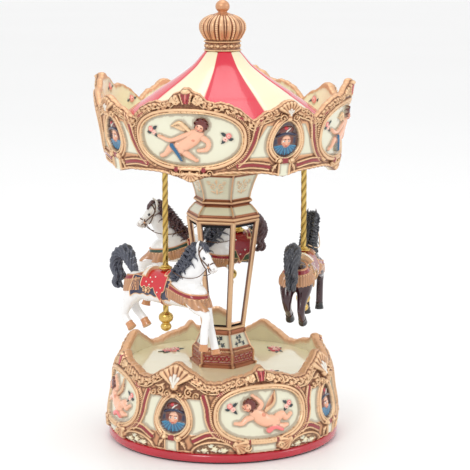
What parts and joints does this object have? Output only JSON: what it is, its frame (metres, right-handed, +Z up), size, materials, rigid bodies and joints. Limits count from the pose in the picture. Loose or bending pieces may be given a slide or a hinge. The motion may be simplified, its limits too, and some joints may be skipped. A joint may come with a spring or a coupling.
{
  "type": "carousel music box",
  "caption": "Wind-up musical carousel with a cast base, mirrored column, turning canopy and horses that rise and fall on brass poles.",
  "frame": {"origin": "middle of the underside of the felt ring", "axes": "+Z up through the column to the crown finial, -Y through the middle of one cherub cartouche of the base"},
  "size_m": [0.1716, 0.1716, 0.3007],
  "materials": {
    "felt": "matt wool felt",
    "crimson_lacquer": "glossy crimson lacquer on cast resin",
    "painted_gilt_resin": "cast resin, hand painted in cream, maroon and flesh with antique gilding",
    "cream_enamel": "glossy cream enamel",
    "black_board": "matt black moulded cover",
    "painted_column_resin": "cream panels with painted ornament and gilt edges",
    "antique_gold": "antique gold paint with a dark wash in the hollows",
    "mirror_glass": "silvered glass",
    "dark_resin": "unpainted dark resin",
    "roof_enamel": "glossy red and cream enamel gores",
    "polished_brass": "polished and lacquered",
    "plain_brass": "machined",
    "white_horse_enamel": "glossy white with painted tack",
    "bay_horse_enamel": "glossy dark bay with painted tack",
    "ivory_horse_enamel": "glossy ivory with painted tack",
    "grey_moulding": "moulded acetal",
    "plain_steel": "machined",
    "cast_zinc": "die cast, as cast",
    "bright_steel": "nickel plated"
  },
  "bodies": {
    "base": {"base_shell": "painted_gilt_resin", "bottom_cover": "black_board", "column_capital": "antique_gold", "column_core": "dark_resin", "column_frame": "antique_gold", "column_hood": "painted_column_resin", "column_plinth": "painted_column_resin", "comb_screws": "bright_steel", "cover_screws": "bright_steel", "cylinder_frame": "plain_steel", "deck_plate": "cream_enamel", "felt_ring": "felt", "foot_plinth": "crimson_lacquer", "governor_bracket": "plain_steel", "lift_track": "grey_moulding", "mirror_panel_1": "mirror_glass", "mirror_panel_2": "mirror_glass", "mirror_panel_3": "mirror_glass", "mirror_panel_4": "mirror_glass", "mirror_panel_5": "mirror_glass", "mirror_panel_6": "mirror_glass", "movement_bedplate": "cast_zinc", "movement_screws": "bright_steel", "shaft_bush_lower": "plain_brass", "shaft_bush_upper": "plain_brass", "steel_comb": "plain_steel"},
    "carousel": {"spring_barrel": "plain_brass", "mainspring": "plain_steel", "drive_shaft": "plain_steel", "canopy_hub": "cast_zinc", "hub_screw": "bright_steel", "canopy_underplate": "cream_enamel", "guide_bush_1": "plain_brass", "guide_bush_2": "plain_brass", "guide_bush_3": "plain_brass", "canopy_band": "painted_gilt_resin", "canopy_roof": "roof_enamel", "crown_finial": "antique_gold"},
    "key": {"winding_key": "bright_steel", "winding_arbor": "plain_steel"},
    "cylinder": {"cylinder_arbor": "plain_brass", "pinned_cylinder": "plain_brass"},
    "second": {"second_arbor": "plain_brass"},
    "governor": {"governor_worm": "plain_steel", "governor_fan": "plain_brass"},
    "horse_1": {"pole_1": "polished_brass", "horse_1": "white_horse_enamel", "seat_ring_1": "polished_brass", "pole_finial_1": "polished_brass", "pole_head_1": "plain_brass"},
    "horse_2": {"pole_2": "polished_brass", "horse_2": "bay_horse_enamel", "seat_ring_2": "polished_brass", "pole_finial_2": "polished_brass", "pole_head_2": "plain_brass"},
    "horse_3": {"pole_3": "polished_brass", "horse_3": "ivory_horse_enamel", "seat_ring_3": "polished_brass", "pole_finial_3": "polished_brass", "pole_head_3": "plain_brass"}
  },
  "joints": [
    {"name": "carousel_spin", "type": "hinge", "parent": "base", "child": "carousel", "pos_m": [0, 0, 0.2], "axis": [0, 0, 1], "continuous": true},
    {"name": "horse_1_lift", "type": "slide", "parent": "carousel", "child": "horse_1", "axis": [0, 0, 1], "range_m": [-0.00038, 0.01182]},
    {"name": "horse_2_lift", "type": "slide", "parent": "carousel", "child": "horse_2", "axis": [0, 0, 1], "range_m": [-0.00712, 0.00508]},
    {"name": "horse_3_lift", "type": "slide", "parent": "carousel", "child": "horse_3", "axis": [0, 0, 1], "range_m": [-0.0108, 0.0014]},
    {"name": "key_wind", "type": "hinge", "parent": "base", "child": "key", "pos_m": [0, 0, 0.01], "axis": [0, 0, 1], "continuous": true},
    {"name": "cylinder_spin", "type": "hinge", "parent": "base", "child": "cylinder", "pos_m": [0.02, 0, 0.03478], "axis": [1, 0, 0], "continuous": true},
    {"name": "second_arbor_spin", "type": "hinge", "parent": "base", "child": "second", "pos_m": [0.045, -0.01005, 0.03478], "axis": [1, 0, 0], "continuous": true},
    {"name": "governor_spin", "type": "hinge", "parent": "base", "child": "governor", "pos_m": [0.04725, -0.0153, 0.03], "axis": [0, 0, 1], "continuous": true}
  ],
  "couplings": [
    {"joint": "cylinder_spin", "follows": "carousel_spin", "ratio": 3},
    {"joint": "second_arbor_spin", "follows": "carousel_spin", "ratio": -12},
    {"joint": "governor_spin", "follows": "carousel_spin", "ratio": -240}
  ]
}
